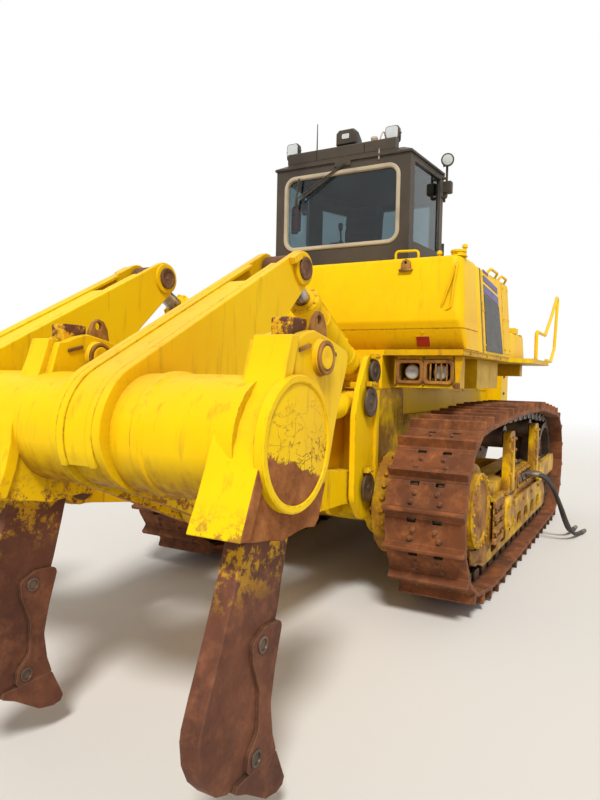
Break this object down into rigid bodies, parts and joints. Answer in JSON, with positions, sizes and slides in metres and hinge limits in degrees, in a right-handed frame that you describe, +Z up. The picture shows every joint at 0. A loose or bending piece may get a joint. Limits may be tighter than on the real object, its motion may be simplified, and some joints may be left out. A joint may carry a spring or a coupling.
{
  "type": "crawler bulldozer tractor with ripper, blade removed",
  "caption": "Large crawler tractor with closed cab, steel tracks and a rear ripper on a lifting linkage; its blade is missing.",
  "frame": {"origin": "below the middle of the machine, on the ground", "axes": "+X forward, +Y to the machine's left, +Z up"},
  "size_m": [8.17, 3.5732, 4.37],
  "materials": {
    "yellow_paint": "worn gloss machine paint",
    "charcoal_paint": "satin paint",
    "track_steel": "orange brown rust",
    "rusty_steel": "brown rust",
    "worn_steel": "worn, greasy",
    "engine_iron": "matt",
    "chrome_rod": "polished",
    "glass": "tinted",
    "seat_cloth": "woven",
    "black_plastic": "matt",
    "hose_rubber": "dusty"
  },
  "bodies": {
    "tractor": {"track_right": "track_steel", "track_left": "track_steel", "sprockets": "track_steel", "final_drives": "yellow_paint", "idlers": "worn_steel", "track_rollers": "worn_steel", "carrier_rollers": "worn_steel", "track_frames": "yellow_paint", "main_frame": "yellow_paint", "engine_block": "engine_iron", "hood_sides": "yellow_paint", "hood_top": "yellow_paint", "radiator_grille": "yellow_paint", "tow_hook": "yellow_paint", "radiator_guard": "yellow_paint", "fenders": "yellow_paint", "platform": "yellow_paint", "fuel_tank": "yellow_paint", "lamp_boxes": "yellow_paint", "side_box_right": "yellow_paint", "side_box_left": "yellow_paint", "handrails": "yellow_paint", "steel_pipes": "rusty_steel", "exhaust_stack": "rusty_steel", "air_cleaner": "black_plastic", "cab_floor": "charcoal_paint", "cab_roof": "charcoal_paint", "cab_shell": "charcoal_paint", "cab_glass": "glass", "seat": "seat_cloth", "console": "black_plastic", "cab_lamps": "black_plastic", "ripper_bracket": "yellow_paint", "bracket_pins": "worn_steel", "hose_1": "hose_rubber", "hose_2": "hose_rubber", "hose_couplings": "worn_steel", "hose_fittings": "worn_steel"},
    "ripper_arm": {"lower_arm": "yellow_paint"},
    "beam_pins": {"beam_pins": "worn_steel"},
    "ripper_beam": {"ripper_beam": "yellow_paint", "shanks": "rusty_steel", "shank_nose_guards": "rusty_steel", "ripper_teeth": "rusty_steel"},
    "door_right": {"door_right": "charcoal_paint", "door_glass_right": "glass"},
    "door_left": {"door_left": "charcoal_paint", "door_glass_left": "glass"},
    "lift_barrel_right": {"lift_barrel_right": "yellow_paint"},
    "lift_rod_right": {"lift_rod_right": "chrome_rod"},
    "tilt_barrel_right": {"tilt_barrel_right": "yellow_paint"},
    "tilt_rod_right": {"tilt_rod_right": "chrome_rod"},
    "lift_barrel_left": {"lift_barrel_left": "yellow_paint"},
    "lift_rod_left": {"lift_rod_left": "chrome_rod"},
    "tilt_barrel_left": {"tilt_barrel_left": "yellow_paint"},
    "tilt_rod_left": {"tilt_rod_left": "chrome_rod"}
  },
  "joints": [
    {"name": "ripper_lift", "type": "hinge", "parent": "tractor", "child": "ripper_arm", "pos_m": [-1.16207, 0, 0.98], "axis": [0, 1, 0], "range_deg": [-30, 25]},
    {"name": "beam_level", "type": "hinge", "parent": "ripper_arm", "child": "beam_pins", "pos_m": [-2.99207, 0, 1.13], "axis": [0, 1, 0], "range_deg": [-14, 17]},
    {"name": "ripper_tilt", "type": "hinge", "parent": "beam_pins", "child": "ripper_beam", "pos_m": [-2.99207, 0, 1.13], "axis": [0, 1, 0], "range_deg": [-14, 6]},
    {"name": "lift_cylinder_right", "type": "hinge", "parent": "tractor", "child": "lift_barrel_right", "pos_m": [-1.14207, -0.56, 1.65], "axis": [0, 1, 0], "range_deg": [-28, 23.5]},
    {"name": "lift_rod_right", "type": "slide", "parent": "lift_barrel_right", "child": "lift_rod_right", "axis": [-0.9887, 0, -0.1496], "range_m": [-0.285, 0.345]},
    {"name": "tilt_cylinder_right", "type": "hinge", "parent": "tractor", "child": "tilt_barrel_right", "pos_m": [-1.07207, -0.56, 1.89], "axis": [0, 1, 0], "range_deg": [-38.5, 32]},
    {"name": "tilt_rod_right", "type": "slide", "parent": "tilt_barrel_right", "child": "tilt_rod_right", "axis": [-0.8805, 0, 0.4741], "range_m": [-0.17, 0.39]},
    {"name": "lift_cylinder_left", "type": "hinge", "parent": "tractor", "child": "lift_barrel_left", "pos_m": [-1.14207, 0.56, 1.65], "axis": [0, 1, 0], "range_deg": [-28, 23.5]},
    {"name": "lift_rod_left", "type": "slide", "parent": "lift_barrel_left", "child": "lift_rod_left", "axis": [-0.9887, 0, -0.1496], "range_m": [-0.285, 0.345]},
    {"name": "tilt_cylinder_left", "type": "hinge", "parent": "tractor", "child": "tilt_barrel_left", "pos_m": [-1.07207, 0.56, 1.89], "axis": [0, 1, 0], "range_deg": [-38.5, 32]},
    {"name": "tilt_rod_left", "type": "slide", "parent": "tilt_barrel_left", "child": "tilt_rod_left", "axis": [-0.8805, 0, 0.4741], "range_m": [-0.17, 0.39]},
    {"name": "cab_door_right", "type": "hinge", "parent": "tractor", "child": "door_right", "pos_m": [0.62234, -0.74633, 3.4], "axis": [0, 0, -1], "range_deg": [0, 100]},
    {"name": "cab_door_left", "type": "hinge", "parent": "tractor", "child": "door_left", "pos_m": [0.62234, 0.74633, 3.4], "axis": [0, 0, 1], "range_deg": [0, 100]}
  ],
  "couplings": [
    {"joint": "beam_level", "follows": "ripper_lift", "ratio": -0.5346},
    {"joint": "lift_cylinder_right", "follows": "ripper_lift", "ratio": 0.9085},
    {"joint": "lift_rod_right", "follows": "ripper_lift", "m_per_rad": -0.6411},
    {"joint": "tilt_cylinder_right", "follows": "ripper_lift", "ratio": 1.2482},
    {"joint": "tilt_rod_right", "follows": "ripper_tilt", "m_per_rad": -1.5678},
    {"joint": "lift_cylinder_left", "follows": "ripper_lift", "ratio": 0.9085},
    {"joint": "lift_rod_left", "follows": "ripper_lift", "m_per_rad": -0.6411},
    {"joint": "tilt_cylinder_left", "follows": "ripper_lift", "ratio": 1.2482},
    {"joint": "tilt_rod_left", "follows": "ripper_tilt", "m_per_rad": -1.5678}
  ]
}
